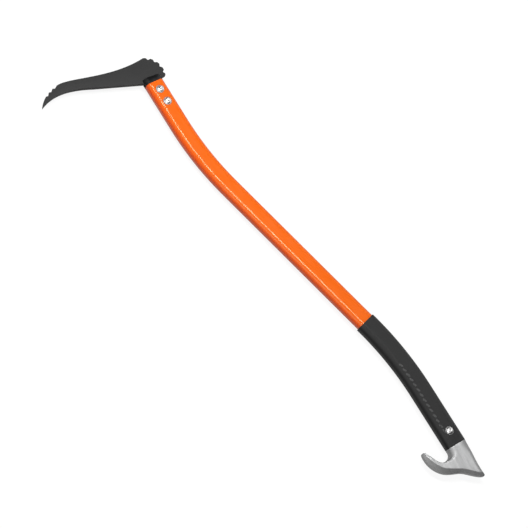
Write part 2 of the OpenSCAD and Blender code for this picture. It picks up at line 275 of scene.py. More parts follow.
def orange_powder_coat():
    """Glossy orange powder coat, with painted shade that makes the tube's narrow sides a darker, redder
    orange.
    """
    coat = Finish("orange-powder-coat", Specular_IOR_Level=0.24, Metallic=0.0,
                  Specular_Tint=(1, 0.95, 0.65, 1))
    cloud = coat.noise((0.05, 0.09, 0.05), detail=3)
    # Painted shade: faces turned sideways get the darker, redder orange.
    side = coat.ramp(coat.facing("X"), 0.35, 0.95)
    flat = coat.mix(cloud, (0.92, 0.138, 0.006, 1), (0.95, 0.155, 0.008, 1))
    painted_shade_orange = coat.mix(cloud, (0.90, 0.086, 0.005, 1), (0.93, 0.100, 0.007, 1))
    body = coat.mix(side, flat, painted_shade_orange)
    worn = coat.multiply(coat.attribute("edge_wear"), coat.noise((0.004,) * 3, detail=4))
    scuffed = (0.45, 0.12, 0.05, 1)
    coat.set(Base_Color=coat.mix(coat.ramp(worn, 0.25, 0.6), body, scuffed))
    streaks = coat.noise((0.012, 0.03, 0.012), detail=4)
    coat.set(Roughness=coat.ramp(streaks, 0.3, 0.7, 0.15, 0.21))
    waves = coat.bump(coat.noise((0.02, 0.05, 0.02), detail=1), 0.00003)
    peel = coat.noise((0.0016,) * 3, detail=2)
    coat.set(Normal=coat.bump(peel, 0.000007, waves))
    return coat.material


def grip_rubber():
    """Black moulded rubber with a fine stipple, with painted shade that makes its steep sides darker and a
    painted highlight that makes the ribs paler.
    """
    rubber = Finish("grip-rubber", Specular_IOR_Level=0.12, Metallic=0.0)
    cloud = rubber.noise((0.03, 0.06, 0.03), detail=4)
    handled = rubber.mix(cloud, grey(0.029), grey(0.036))
    # Painted shade: rubbed is the rubber's colour with its steep sides painted nearly black, while the
    # broad faces keep their own tone.
    rubbed = rubber.mix(rubber.ramp(rubber.facing("Z"), 0.35, 0.97), grey(0.010), handled)
    # Painted highlight: the rib crests are painted paler grey.
    crest = rubber.multiply(rubber.attribute("rib"), rubber.noise((0.005,) * 3, detail=3))
    rubber.set(Base_Color=rubber.mix(rubber.ramp(crest, 0.12, 0.45), rubbed, grey(0.085)))
    rubber.set(Roughness=rubber.ramp(cloud, 0.3, 0.7, 0.42, 0.52))
    rubber.set(Normal=rubber.bump(rubber.specks(0.0009), 0.00004))
    return rubber.material


def coated_steel():
    """Matt dark coating on steel, rubbed through to the metal along the teeth and edges."""
    steel = Finish("coated-steel", Specular_IOR_Level=0.15)
    cloud = steel.noise((0.04, 0.02, 0.04), detail=4)
    grain = steel.noise((0.0011,) * 3, detail=3)
    coat = steel.mix(cloud, grey(0.034), grey(0.040))
    speckled = steel.mix(steel.ramp(grain, 0.55, 0.75, 0.0, 0.35), coat, grey(0.06))
    chips = steel.multiply(steel.attribute("edge_wear"), steel.noise((0.0035,) * 3, detail=5, rough=0.65))
    bare = steel.ramp(chips, 0.30, 0.52)
    steel.set(Base_Color=steel.mix(bare, speckled, grey(0.34, 0.02)))
    steel.set(Metallic=steel.multiply(bare, 0.9))
    steel.set(Roughness=steel.ramp(cloud, 0.3, 0.7, 0.5, 0.6))
    hammered = steel.bump(steel.noise((0.012,) * 3, detail=2), 0.0001)
    steel.set(Normal=steel.bump(grain, 0.00003, hammered))
    return steel.material


def moulded_nylon():
    """Black moulded plastic with a fine spark-eroded texture."""
    nylon = Finish("moulded-nylon", Specular_IOR_Level=0.07, Metallic=0.0)
    cloud = nylon.noise((0.015,) * 3, detail=3)
    rubbed = nylon.multiply(nylon.attribute("edge_wear"), cloud)
    body = nylon.mix(cloud, grey(0.005, -0.04), grey(0.008, -0.04))
    nylon.set(Base_Color=nylon.mix(nylon.ramp(rubbed, 0.2, 0.6, 0.0, 0.6), body, grey(0.05)))
    nylon.set(Roughness=nylon.ramp(cloud, 0.3, 0.7, 0.42, 0.52))
    nylon.set(Normal=nylon.bump(nylon.noise((0.0007,) * 3, detail=2), 0.00003))
    return nylon.material


def cast_alloy():
    """Tumbled aluminium casting: fine grain, soft flow marks, bright rubbed edges, and rougher steep sides,
    bevel and flanks that carry painted shade in dark grey.
    """
    alloy = Finish("cast-alloy", Metallic=1.0)
    flow = alloy.noise((0.006, 0.05, 0.02), detail=2, turn=math.radians(-25))
    cloud = alloy.noise((0.012,) * 3, detail=4)
    grain = alloy.noise((0.0009,) * 3, detail=3)
    body = alloy.mix(cloud, grey(0.46, -0.004), grey(0.54, -0.004))
    shaded = alloy.mix(alloy.ramp(flow, 0.35, 0.65, 0.0, 0.6), body, grey(0.40, -0.004))
    pits = alloy.mix(alloy.ramp(grain, 0.62, 0.8, 0.0, 0.5), shaded, grey(0.30))
    rubbed = alloy.ramp(alloy.attribute("edge_wear"), 0.1, 0.6, 0.0, 0.7)
    ground = alloy.mix(rubbed, pits, grey(0.78, -0.004))
    # Painted shade: steep sides, and the bevel and flanks that the casting's layer marks, are painted dark
    # grey; they are rougher too.
    rim = alloy.mix(alloy.ramp(grain, 0.35, 0.7), grey(0.21), grey(0.29))
    steep = alloy.ramp(alloy.facing("Z"), 0.5, 0.97, 1.0, 0.0)
    rough_skin_and_shade = alloy.greater(alloy.attribute("rough_skin_and_shade"), steep)
    alloy.set(Base_Color=alloy.mix(rough_skin_and_shade, ground, rim))
    alloy.set(Roughness=alloy.ramp(rough_skin_and_shade, 0.0, 1.0, 0.58, 0.66))
    waves = alloy.bump(flow, 0.0007)
    alloy.set(Normal=alloy.bump(grain, 0.00005, waves))
    return alloy.material


def turned_steel(name, centre, shade, roughness):
    """Zinc-plated steel with turning rings round the fastener's own axis."""
    steel = Finish(name, Metallic=1.0)
    here = {"Vector": steel.place, "Location": [-c for c in centre]}
    round_axis = steel.add("ShaderNodeMapping", here).outputs["Vector"]
    rings_at = {"Vector": round_axis, "Scale": 700.0, "Distortion": 0.6, "Detail": 2.0}
    rings = steel.add("ShaderNodeTexWave", rings_at, wave_type="RINGS", rings_direction="Z").outputs["Fac"]
    cloud = steel.noise((0.003,) * 3, detail=4)
    plated = steel.mix(cloud, grey(shade * 0.85, 0.01), grey(shade, 0.01))
    rubbed = steel.multiply(steel.attribute("edge_wear"), 0.5)
    steel.set(Base_Color=steel.mix(rubbed, plated, grey(0.9)))
    steel.set(Roughness=steel.ramp(cloud, 0.3, 0.7, roughness, roughness + 0.12))
    steel.set(Normal=steel.bump(rings, 0.000012))
    return steel.material


def eased(values, start, end):
    """0 before the start, 1 past the end, and smooth between."""
    share = np.clip((values - start) / (end - start), 0, 1)
    return share * share * (3 - 2 * share)


def fading(values, start, end):
    """1 before the start, 0 past the end, and smooth between."""
    return eased(-values, -end, -start)


def polar(radius, degrees):
    return radius * Vector((math.cos(math.radians(degrees)), math.sin(math.radians(degrees))))


def arc(centre, radius, start, end, steps):
    """Points round a centre, from one angle to another, in degrees."""
    return [centre + polar(radius, start + (end - start) * i / steps) for i in range(steps + 1)]


def bezier(points, share):
    """Point at a share of the way along a curve with four control points."""
    a, b, c, d = points
    left = 1 - share
    return left ** 3 * a + 3 * share * left ** 2 * b + 3 * share ** 2 * left * c + share ** 3 * d


def bezier_side(points, share):
    """Unit normal of a curve, to the right of its way."""
    way = bezier(points, share + 0.01) - bezier(points, share - 0.01)
    return Vector((way.y, -way.x)).normalized()


def bezier_run(points, steps):
    """Points along a curve whose four control points are in millimetres."""
    return [bezier([Vector(p) * MM for p in points], i / steps) for i in range(steps + 1)]


def verts_in(parts):
    return [part for part in parts if isinstance(part, bmesh.types.BMVert)]


def edges_in(parts):
    return [part for part in parts if isinstance(part, bmesh.types.BMEdge)]


def ends_of(edges):
    """Vertices of some edges, each once and in the edges' order."""
    return list(dict.fromkeys(vert for edge in edges for vert in edge.verts))


def everything(bm):
    return list(bm.verts) + list(bm.edges) + list(bm.faces)


def mesh_from(bm, name):
    """Gives a finished bmesh as a mesh, and frees it."""
    mesh = bpy.data.meshes.new(name)
    bm.to_mesh(mesh)
    bm.free()
    return mesh


def placed(name, data):
    """New object in the scene."""
    thing = bpy.data.objects.new(name, data)
    bpy.context.scene.collection.objects.link(thing)
    return thing


def rounded(bm, edges, radius, segments=2):
    bmesh.ops.bevel(bm, geom=edges, offset=radius, segments=segments, profile=0.5, affect="EDGES",
                    material=-1, clamp_overlap=True)


def lathed(bm, profile, steps=64):
    """Turns a profile of radius and height about the upright axis."""
    verts = [bm.verts.new((radius, 0, height)) for radius, height in profile]
    edges = [bm.edges.new(pair) for pair in zip(verts, verts[1:])]
    bmesh.ops.spin(bm, geom=verts + edges, cent=(0, 0, 0), axis=(0, 0, 1), dvec=(0, 0, 0),
                   angle=math.tau, steps=steps, use_merge=True, use_duplicate=False)
    bmesh.ops.remove_doubles(bm, verts=bm.verts, dist=1e-7)


def mark_wear(bm):
    """Writes how far each vertex stands out from its neighbours, from 0 on flats and hollows to 1."""
    gain = 4
    layer = bm.verts.layers.float.new("edge_wear")
    bm.normal_update()
    for vert in bm.verts:
        ways = [(edge.other_vert(vert).co - vert.co).normalized() for edge in vert.link_edges]
        stand_out = -sum(vert.normal.dot(way) for way in ways) / max(len(ways), 1)
        vert[layer] = min(max(stand_out * gain, 0.0), 1.0)


def finished_piece(bm, name, finish, node, smooth_to=38):
    """Puts a mesh drawn on the tool's stations into the frame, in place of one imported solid.

    Edges that turn by more than smooth_to degrees stay sharp.
    """
    bmesh.ops.translate(bm, verts=bm.verts, vec=HEAD)
    mark_wear(bm)
    mesh = mesh_from(bm, name)
    piece = placed(name, mesh)
    mesh.materials.append(finish)
    mesh.polygons.foreach_set("use_smooth", [True] * len(mesh.polygons))
    mesh.set_sharp_from_angle(angle=math.radians(smooth_to))
    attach(piece, "root")
    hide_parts(node)
    return piece


def applied(piece):
    """Makes what a piece's modifiers show its own mesh."""
    scene_now = bpy.context.evaluated_depsgraph_get()
    shown = bpy.data.meshes.new_from_object(piece.evaluated_get(scene_now))
    piece.modifiers.clear()
    piece.data = shown


def cut_away(piece, bm, operation="DIFFERENCE"):
    """Cuts a closed mesh out of a piece, or joins it on with the operation UNION."""
    cutter = placed("cutter", mesh_from(bm, "cutter"))
    cut = piece.modifiers.new("cut", "BOOLEAN")
    cut.operation = operation
    cut.object = cutter
    cut.solver = "EXACT"
    applied(piece)
    bpy.data.objects.remove(cutter)


def drill(piece, *stations):
    """Hole at each station, for a screw from the front and its sleeve nut's barrel from the back."""
    reach = 40 * MM
    step = BLADE_T / 2
    wide = BARREL_R + HOLE_FIT
    narrow = SHANK_R + HOLE_FIT
    profile = [(0, -reach), (wide, -reach), (wide, step), (narrow, step), (narrow, reach), (0, reach)]
    for station in stations:
        hole = bmesh.new()
        lathed(hole, profile, steps=40)
        bmesh.ops.recalc_face_normals(hole, faces=hole.faces)
        bmesh.ops.translate(hole, verts=hole.verts, vec=HEAD + station)
        cut_away(piece, hole)


def blade_outline():
    """Side view of the blade, clockwise from its tip, and which of its corners are tooth corners."""
    smooth = False
    tooth = True
    crown_start = CROWN_CENTRE + polar(CROWN_R, CROWN_LEANS[0] + CROWN_TOOTH)
    nose = [TIP, TIP + Vector((8, 13)) * MM, NOSE_TOP - Vector((22, -2)) * MM, NOSE_TOP]
    back = [NOSE_TOP, NOSE_TOP + Vector((30, -3.5)) * MM, crown_start - Vector((54, 8)) * MM, crown_start]
    belly = [TIP, TIP + Vector((17, 9)) * MM, TIP + Vector((41, 16.5)) * MM, TIP + Vector((86, -2.5)) * MM]

    # Nose: smooth at first, three notches between four teeth, and smooth again to its top
    outline = [(bezier(nose, 0.37 * i / 8), smooth) for i in range(9)]
    for i in range(3):
        at_tooth = 0.42 + 0.14 * i
        at_notch = at_tooth + 0.05
        notch = bezier(nose, at_notch) + NOSE_NOTCH * bezier_side(nose, at_notch)
        outline += [(bezier(nose, at_tooth), tooth), (notch, tooth)]
    outline += [(bezier(nose, 0.84 + 0.16 * i / 4), smooth) for i in range(5)]
    outline += [(bezier(back, i / 24), smooth) for i in range(1, 24)]

    # Crown: five broad teeth with notches between, the last one smaller
    for lean in CROWN_LEANS:
        is_last = lean == CROWN_LEANS[-1]
        half = LAST_TOOTH if is_last else CROWN_TOOTH
        outline += [(CROWN_CENTRE + polar(CROWN_R, lean + k * half), tooth) for k in (1, 0, -1)]
        if not is_last:
            outline.append((CROWN_CENTRE + polar(CROWN_R - CROWN_NOTCH, lean - 11.5), tooth))

    # Shoulders on the liners, with the tang between them
    tang = TUBE_W / 2 - CORE_GAP
    shoulder = [(TUBE_W / 2, 3 * MM), (TUBE_W / 2, MM), (tang, MM), (tang, -TANG_L)]
    shoulder += [(-tang, -TANG_L), (-tang, 4.3 * MM), (-TUBE_W / 2 - 0.5 * MM, 5.3 * MM)]
    outline += [(Vector(point), smooth) for point in shoulder]
    outline += [(bezier(belly, 1 - i / 24), smooth) for i in range(24)]
    return outline


def pick_blade():
    """Plate of the blade's side view that thins towards the tip."""
    bm = bmesh.new()
    drawn = [(bm.verts.new((*point, -BLADE_T / 2)), is_tooth) for point, is_tooth in blade_outline()]
    bm.faces.new([vert for vert, is_tooth in drawn])
    bmesh.ops.bevel(bm, geom=[vert for vert, is_tooth in drawn if is_tooth], offset=TOOTH_ROUND,
                    segments=3, profile=0.5, affect="VERTICES", material=-1, clamp_overlap=True)
    grown = bmesh.ops.extrude_face_region(bm, geom=list(bm.faces))["geom"]
    bmesh.ops.translate(bm, verts=verts_in(grown), vec=(0, 0, BLADE_T))
    bmesh.ops.bisect_plane(bm, geom=everything(bm), plane_co=(TIP.x + TAPER_L, 0, 0),
                           plane_no=(1, 0, 0), dist=1e-6)
    for vert in bm.verts:
        thinned = max(0.0, 1 - (vert.co.x - TIP.x) / TAPER_L)
        vert.co.z *= 1 - (1 - TIP_T / BLADE_T) * thinned
    bmesh.ops.recalc_face_normals(bm, faces=bm.faces)
    least_turn = 1.2
    side_views = {face for face in bm.faces if len(face.verts) > 30}
    rims = [edge for edge in bm.edges if len(edge.link_faces) == 2 and edge.calc_face_angle() > least_turn
            and not side_views.isdisjoint(edge.link_faces)]
    rounded(bm, rims, BLADE_EDGE, segments=4)
    blade = finished_piece(bm, "blade", coated_steel(), "pick_blade")
    drill(blade, UPPER_SCREW, LOWER_SCREW)


def oval_ring(bm, width, thickness, corner):
    """Flat-oval loop of edges across the handle, in the plane of the head end."""
    signs = ((-1, -1), (1, -1), (1, 1), (-1, 1))
    corners = [bm.verts.new((x * width / 2, 0, z * thickness / 2)) for x, z in signs]
    known = set(bm.edges)
    bm.faces.new(corners)
    bmesh.ops.bevel(bm, geom=corners, offset=corner, segments=CORNER_STEPS, profile=0.5,
                    affect="VERTICES", material=-1)
    ring = [edge for edge in bm.edges if edge not in known]
    bmesh.ops.delete(bm, geom=[f for f in bm.faces if set(f.edges) <= set(ring)], context="FACES_ONLY")
    return ring


def with_fine_flats(bm, ring, cuts):
    """Divides the two broad sides of a flat-oval ring, so that they shade as flat."""
    narrow_side = 5 * MM
    flats = [edge for edge in ring if edge.calc_length() > narrow_side]
    fine = bmesh.ops.subdivide_edges(bm, edges=flats, cuts=cuts)["geom_split"]
    return list(dict.fromkeys(ring + edges_in(fine)))


def liner_half(side, name, node, finish):
    """Half liner on the front (side 1) or the back (side -1) of the tang, with its half of the collar."""
    bm = bmesh.new()
    ring = oval_ring(bm, TUBE_W, TUBE_T, TUBE_CORNER)
    ledge = bmesh.ops.contextual_create(bm, geom=ring)["faces"]
    collar = bmesh.ops.extrude_face_region(bm, geom=ledge, use_keep_orig=True)["geom"]
    for vert in verts_in(collar):
        vert.co.y = COLLAR_H - COLLAR_FALL * (vert.co.x / TUBE_W + 0.5)
    underside = [f for f in bm.faces if all(abs(v.co.y) < 1e-7 for v in f.verts)]
    bmesh.ops.inset_region(bm, faces=underside, thickness=CORE_GAP, use_even_offset=True)
    core = bmesh.ops.extrude_face_region(bm, geom=underside)["geom"]
    bmesh.ops.translate(bm, verts=verts_in(core), vec=(0, -LINER_L, 0))
    bmesh.ops.delete(bm, geom=[f for f in underside if f.is_valid], context="FACES_ONLY")
    made = bmesh.ops.bisect_plane(bm, geom=everything(bm), plane_co=(0, 0, side * BLADE_T / 2),
                                  plane_no=(0, 0, side), clear_inner=True, dist=1e-7)
    bmesh.ops.holes_fill(bm, edges=edges_in(made["geom_cut"]), sides=0)
    bmesh.ops.recalc_face_normals(bm, faces=bm.faces)
    least_turn = 0.7
    upper = [e for e in bm.edges if all(v.co.y > COLLAR_H / 2 for v in e.verts)]
    crest = [e for e in upper if e.calc_face_angle(0) > least_turn]
    rounded(bm, crest, COLLAR_ROUND)
    liner = finished_piece(bm, name, finish, node)
    drill(liner, UPPER_SCREW, LOWER_SCREW)


def swept(bm, ring, steps, way=(0, 0, 0), centre=(0, 0, 0), angle=0.0):
    """Carries a ring of edges on in even steps, straight or round a centre, and gives the last ring."""
    made = bmesh.ops.spin(bm, geom=ends_of(ring) + ring, cent=centre, axis=(0, 0, 1), dvec=way,
                          angle=angle, steps=steps, use_duplicate=False)
    return edges_in(made["geom_last"])


def carried_down(bm, ring, lap, step_l):
    """Carries a ring from a lap above the lower bend to the tube's tail end, in steps of about step_l."""
    tail_l = BEND_END.y - TAIL.y
    lap_steps = max(1, round(lap / step_l))
    bend_steps = max(1, round(BEND_R * BEND_A / step_l))
    tail_steps = max(1, round(tail_l / step_l))
    ring = swept(bm, ring, lap_steps, way=MID_WAY * lap / lap_steps)
    ring = swept(bm, ring, bend_steps, centre=LOWER_CENTRE, angle=-BEND_A)
    return swept(bm, ring, tail_steps, way=Vector((0, -tail_l / tail_steps, 0)))


def tube_wall(bm, inset):
    """One wall of the tube from the head end to the tail end, given by its first and last ring."""
    first = oval_ring(bm, TUBE_W - 2 * inset, TUBE_T - 2 * inset, TUBE_CORNER - inset)
    first = with_fine_flats(bm, first, TUBE_FLAT_CUTS)
    ring = swept(bm, first, 1, way=(0, -END_RING, 0))
    ring = swept(bm, ring, HEAD_STEPS, way=(0, (END_RING - HEAD_STRAIGHT) / HEAD_STEPS, 0))
    ring = swept(bm, ring, BEND_STEPS, centre=(BEND_R, -HEAD_STRAIGHT, 0), angle=BEND_A)
    return first, carried_down(bm, ring, MID_STRAIGHT, MID_STRAIGHT / MID_STEPS)


def joined_walls(bm, outer, inner):
    """Closes an outer and an inner wall, each given by its first and last ring, into one shell."""
    inner_side = set(ends_of(inner[0]))
    reached = set(inner_side)
    while reached:
        reached = {vert for near in reached for edge in near.link_edges for vert in edge.verts} - inner_side
        inner_side |= reached
    bmesh.ops.reverse_faces(bm, faces=[f for f in bm.faces if f.verts[0] in inner_side])
    for outer_ring, inner_ring in zip(outer, inner):
        bmesh.ops.bridge_loops(bm, edges=outer_ring + inner_ring)
    bmesh.ops.recalc_face_normals(bm, faces=bm.faces)


def handle_tube():
    bm = bmesh.new()
    outer = tube_wall(bm, 0)
    inner = tube_wall(bm, TUBE_WALL)
    joined_walls(bm, outer, inner)
    rounded(bm, outer[0] + inner[0], TUBE_LIP)
    tube = finished_piece(bm, "tube", orange_powder_coat(), "handle_tube")
    drill(tube, UPPER_SCREW, LOWER_SCREW, GRIP_SCREW)
    return tube


def sleeve_place(point):
    """How far down the sleeve a point lies, and how far to the finger side of its middle line."""
    if point.y < BEND_END.y:
        return SLEEVE_LAP + BEND_R * BEND_A + BEND_END.y - point.y, BEND_END.x - point.x
    spoke = point.xy - LOWER_CENTRE.xy
    turned = math.atan2(spoke.y, spoke.x)
    if turned < BEND_A:
        return SLEEVE_LAP + BEND_R * (BEND_A - turned), BEND_R - spoke.length
    from_bend = point.xy - MID_END.xy
    return SLEEVE_LAP + from_bend.dot(MID_WAY.xy), from_bend.cross(MID_WAY.xy)


def rib_share(point, normal):
    """How far up the nearest rib a point of the sleeve lies: ribs lean over the finger side's corners."""
    along, out = sleeve_place(point)
    across = out - (TUBE_W / 2 - TUBE_CORNER)
    if across > 0:
        across = (TUBE_CORNER + SLEEVE_WALL) * math.atan2(normal.xy.length, abs(normal.z))
    nearest = min(max(round((along - RIB_FIRST) / RIB_PITCH), 0), RIB_COUNT - 1)
    along -= RIB_FIRST + nearest * RIB_PITCH
    across -= RIB_OUT
    far_along = along * math.cos(RIB_LEAN) - across * math.sin(RIB_LEAN)
    far_across = along * math.sin(RIB_LEAN) + across * math.cos(RIB_LEAN)
    off = math.hypot(far_along / (RIB_L / 2), far_across / (RIB_W / 2))
    return float(fading(off, 0.5, 1.0))


def grip_sleeve():
    """Rubber sleeve with its ribs, fine outside and coarse inside, and a recess for the grip's screw."""
    bm = bmesh.new()
    rib = bm.verts.layers.float.new("rib")
    start = Matrix.Translation(MID_END - MID_WAY * SLEEVE_LAP) @ Matrix.Rotation(BEND_A, 4, "Z")
    walls = []
    for wall, step_l in ((SLEEVE_WALL, 0.8 * MM), (0, 6 * MM)):
        first = oval_ring(bm, TUBE_W + 2 * wall, TUBE_T + 2 * wall, TUBE_CORNER + wall)
        first = with_fine_flats(bm, first, SLEEVE_FLAT_CUTS)
        bmesh.ops.transform(bm, matrix=start, verts=ends_of(first))
        walls.append((first, carried_down(bm, first, SLEEVE_LAP, step_l)))
        if wall > 0:
            for vert in bm.verts:
                vert[rib] = 1.0
    joined_walls(bm, *walls)
    bm.normal_update()
    outside = [(vert, vert.normal.copy()) for vert in bm.verts if vert[rib] == 1.0]
    for vert, normal in outside:
        vert[rib] = rib_share(vert.co, normal)
        vert.co += normal * RIB_H * vert[rib]
    outer_ends = walls[0][0] + walls[0][1]
    rounded(bm, outer_ends, SLEEVE_LIP)
    sleeve = finished_piece(bm, "sleeve", grip_rubber(), "grip_sleeve", smooth_to=60)
    recess = bmesh.new()
    recess_r = WASHER_R + RECESS_FIT
    bmesh.ops.create_cone(recess, cap_ends=True, segments=64, radius1=recess_r, radius2=recess_r,
                          depth=3 * TUBE_T)
    bmesh.ops.translate(recess, verts=recess.verts, vec=HEAD + GRIP_SCREW)
    cut_away(sleeve, recess)


def pommel_curves():
    """Side view of the pommel in three runs that meet: its rim, its right flank and its throat.

    The rim goes from the beak's tip round its outer side and down the hook's back to the toe, the flank
    from the toe up to the sleeve, and the throat from the sleeve to the beak's inner side and its tip.
    """
    rim = arc(BEAK_CENTRE, BEAK_R, 100, 165, 4) + arc(HOOK_CENTRE, HOOK_R, 172, 232, 24)
    rim += bezier_run([(-39.7, -27.8), (-34.2, -32.1), (-24.9, -35.1), (-18.5, -38)], 10)[1:]
    rim += bezier_run([(-18.5, -38), (-10, -41.8), (0, -55.5), (11.2, -60)], 16)[1:]
    flank = arc(Vector((10.8, -57.5)) * MM, 2.5 * MM, -75, 0, 5)
    flank += bezier_run([(13.3, -57.5), (10.9, -40), (14.8, -16), (16.7, 0)], 14)[1:]
    throat = [Vector((-16.7, 0)) * MM] + arc(FILLET_CENTRE, FILLET_R, 0, -100.3, 12)
    throat += bezier_run([(-28.5, -12.74), (-38.5, -14.6), (-42.5, -5), (-49, 11.3)], 20)[1:]
    throat += arc(BEAK_CENTRE, BEAK_R, 10, 85, 5)
    return rim, flank, throat


def distances(places, curve):
    """Distance of each place from a curve given by its points."""
    ends = np.array([list(p) for p in curve])
    nearest = np.full(len(places), np.inf)
    for a, b in zip(ends, ends[1:]):
        along = np.clip((places - a) @ (b - a) / ((b - a) @ (b - a)), 0, 1)
        nearest = np.minimum(nearest, np.linalg.norm(places - a - along[:, None] * (b - a), axis=1))
    return nearest


def rolled_edge(off, radius, face):
    """Height over the middle plane at a distance from an edge that is rounded to a radius."""
    inside = np.clip(radius - off, 0, radius)
    return face - radius + np.sqrt(np.maximum(radius ** 2 - inside ** 2, 0))


def pommel_heights(places):
    """Half thickness of the casting at each place of its side view, and how much rougher skin and painted
    shade it has there.
    """
    rim, flank, throat = (distances(places, curve) for curve in pommel_curves())
    x, y = places.T

    # Broad face, which runs from the sleeve to the toe and to the hook, and sinks round the beak
    body_face = SLEEVE_T / 2 + y * (SLEEVE_T / 2 - TOE_T / 2) / POMMEL_DROP
    face = HOOK_T / 2 + (body_face - HOOK_T / 2) * eased(x, -38 * MM, -13 * MM)
    to_beak = np.hypot(x - BEAK_CENTRE.x, y - BEAK_CENTRE.y)
    face *= 1 - 0.4 * fading(to_beak, 1 * MM, 12 * MM)

    # Bevel from the face down to the keel along the rim, narrower towards the toe and in the claw
    round_hook = np.degrees(np.arctan2(y - HOOK_CENTRE.y, x - HOOK_CENTRE.x)) % 360
    bevel = HOOK_BEVEL + (TOE_BEVEL - HOOK_BEVEL) * eased(round_hook, 235, 275)
    bevel = np.minimum(bevel, 0.55 * (rim + throat))
    chamfer = KEEL_T / 2 + (face - KEEL_T / 2) * rim / bevel

    # Rounded edges, which start with the sleeve's corner and get tighter along the throat and the flank
    corner = TUBE_CORNER + SLEEVE_WALL
    round_fillet = (np.degrees(np.arctan2(FILLET_CENTRE.y - y, x - FILLET_CENTRE.x)) + 90) % 360 - 90
    throat_r = corner + (THROAT_ROUND - corner) * eased(round_fillet, 20, 105)
    throat_r = np.minimum(throat_r, 0.18 * (rim + throat) + corner * fading(round_fillet, 60, 105))
    flank_r = corner + (TOE_ROUND - corner) * eased(-y, 2 * MM, 25 * MM)
    heights = np.minimum(rolled_edge(throat, throat_r, face), rolled_edge(flank, flank_r, face))

    # Rougher skin beside the fillet and the flank, and on the bevel, where the finish also paints shade
    beside_throat = fading(throat, 0.2 * throat_r, throat_r) * fading(round_fillet, 35, 80)
    beside_flank = fading(flank, 0.7 * flank_r, 1.4 * flank_r)
    rough = 0.8 * np.maximum(beside_throat, beside_flank)
    rough = np.maximum(rough, fading(rim, bevel - 0.4 * MM, bevel + 0.4 * MM))
    return np.minimum(heights, chamfer), rough


def pommel_plate():
    """Flat plate of the pommel's side view, as a dense even mesh."""
    rim, flank, throat = pommel_curves()
    bm = bmesh.new()
    outline = [bm.verts.new((point.x, point.y, -HALF_PLATE)) for point in rim + flank + throat]
    side_view = bm.faces.new(outline)
    grown = bmesh.ops.extrude_face_region(bm, geom=[side_view], use_keep_orig=True)["geom"]
    bmesh.ops.translate(bm, verts=verts_in(grown), vec=(0, 0, 2 * HALF_PLATE))
    bmesh.ops.triangulate(bm, faces=[f for f in bm.faces if len(f.verts) > 4])
    bmesh.ops.recalc_face_normals(bm, faces=bm.faces)
    plate = placed("plate", mesh_from(bm, "plate"))
    dense = plate.modifiers.new("dense", "REMESH")
    dense.mode = "VOXEL"
    dense.voxel_size = CASTING_GRID
    applied(plate)
    even = bmesh.new()
    even.from_mesh(plate.data)
    bpy.data.objects.remove(plate)
    return even


def pommel_spigot():
    """Solid spigot from inside the pommel up into the tube's tail end."""
    bm = bmesh.new()
    ring = oval_ring(bm, TUBE_W - 2 * CORE_GAP, TUBE_T - 2 * CORE_GAP, TUBE_CORNER - CORE_GAP)
    base = bmesh.ops.contextual_create(bm, geom=ring)["faces"]
    grown = bmesh.ops.extrude_face_region(bm, geom=base, use_keep_orig=True)["geom"]
    bmesh.ops.translate(bm, verts=verts_in(grown), vec=(0, SPIGOT_L + SPIGOT_ROOT, 0))
    bmesh.ops.recalc_face_normals(bm, faces=bm.faces)
    bmesh.ops.translate(bm, verts=bm.verts, vec=HEAD + TAIL - Vector((0, SPIGOT_ROOT, 0)))
    return bm


def pommel_hook():
    """Cast pommel: the plate swelled to the casting's heights, with its spigot."""
    bm = pommel_plate()
    heights, rough = pommel_heights(np.array([vert.co.xy for vert in bm.verts]))
    # The layer marks rougher skin, which the finish also paints dark grey as painted shade.
    rough_skin_and_shade = bm.verts.layers.float.new("rough_skin_and_shade")
    for vert, height, share in zip(bm.verts, heights, rough):
        vert.co.z *= height / HALF_PLATE
        vert[rough_skin_and_shade] = share
    below_sleeve = [v for v in bm.verts if v.co.y < -0.5 * MM or v.co.x < -20 * MM]
    for _ in range(3):
        bmesh.ops.smooth_vert(bm, verts=below_sleeve, factor=0.5,
                              use_axis_x=True, use_axis_y=True, use_axis_z=True)
    bmesh.ops.translate(bm, verts=bm.verts, vec=TAIL)
    pommel = finished_piece(bm, "pommel", cast_alloy(), "pommel_hook", smooth_to=50)
    cut_away(pommel, pommel_spigot(), "UNION")
    drill(pommel, GRIP_SCREW)


def dome_profile(flat_r):
    """Dome of a head from the flat round its socket down to its rim."""
    rise = (flat_r ** 2 + HEAD_H ** 2 - HEAD_R ** 2 - HEAD_RIM ** 2) / (2 * (HEAD_H - HEAD_RIM))
    radius = math.hypot(HEAD_R, HEAD_RIM - rise)
    first = math.atan2(HEAD_H - rise, flat_r)
    last = math.atan2(HEAD_RIM - rise, HEAD_R)
    leans = [first + (last - first) * i / 10 for i in range(11)]
    return [(radius * math.cos(a), rise + radius * math.sin(a)) for a in leans]


def seated(bm, station, side, height):
    """Stands what is drawn upright at a station, on the front (side 1) or the back (side -1)."""
    if side < 0:
        bmesh.ops.scale(bm, verts=bm.verts, vec=(1, 1, -1))
    bmesh.ops.translate(bm, verts=bm.verts, vec=station + Vector((0, 0, side * height)))
    bmesh.ops.recalc_face_normals(bm, faces=bm.faces)


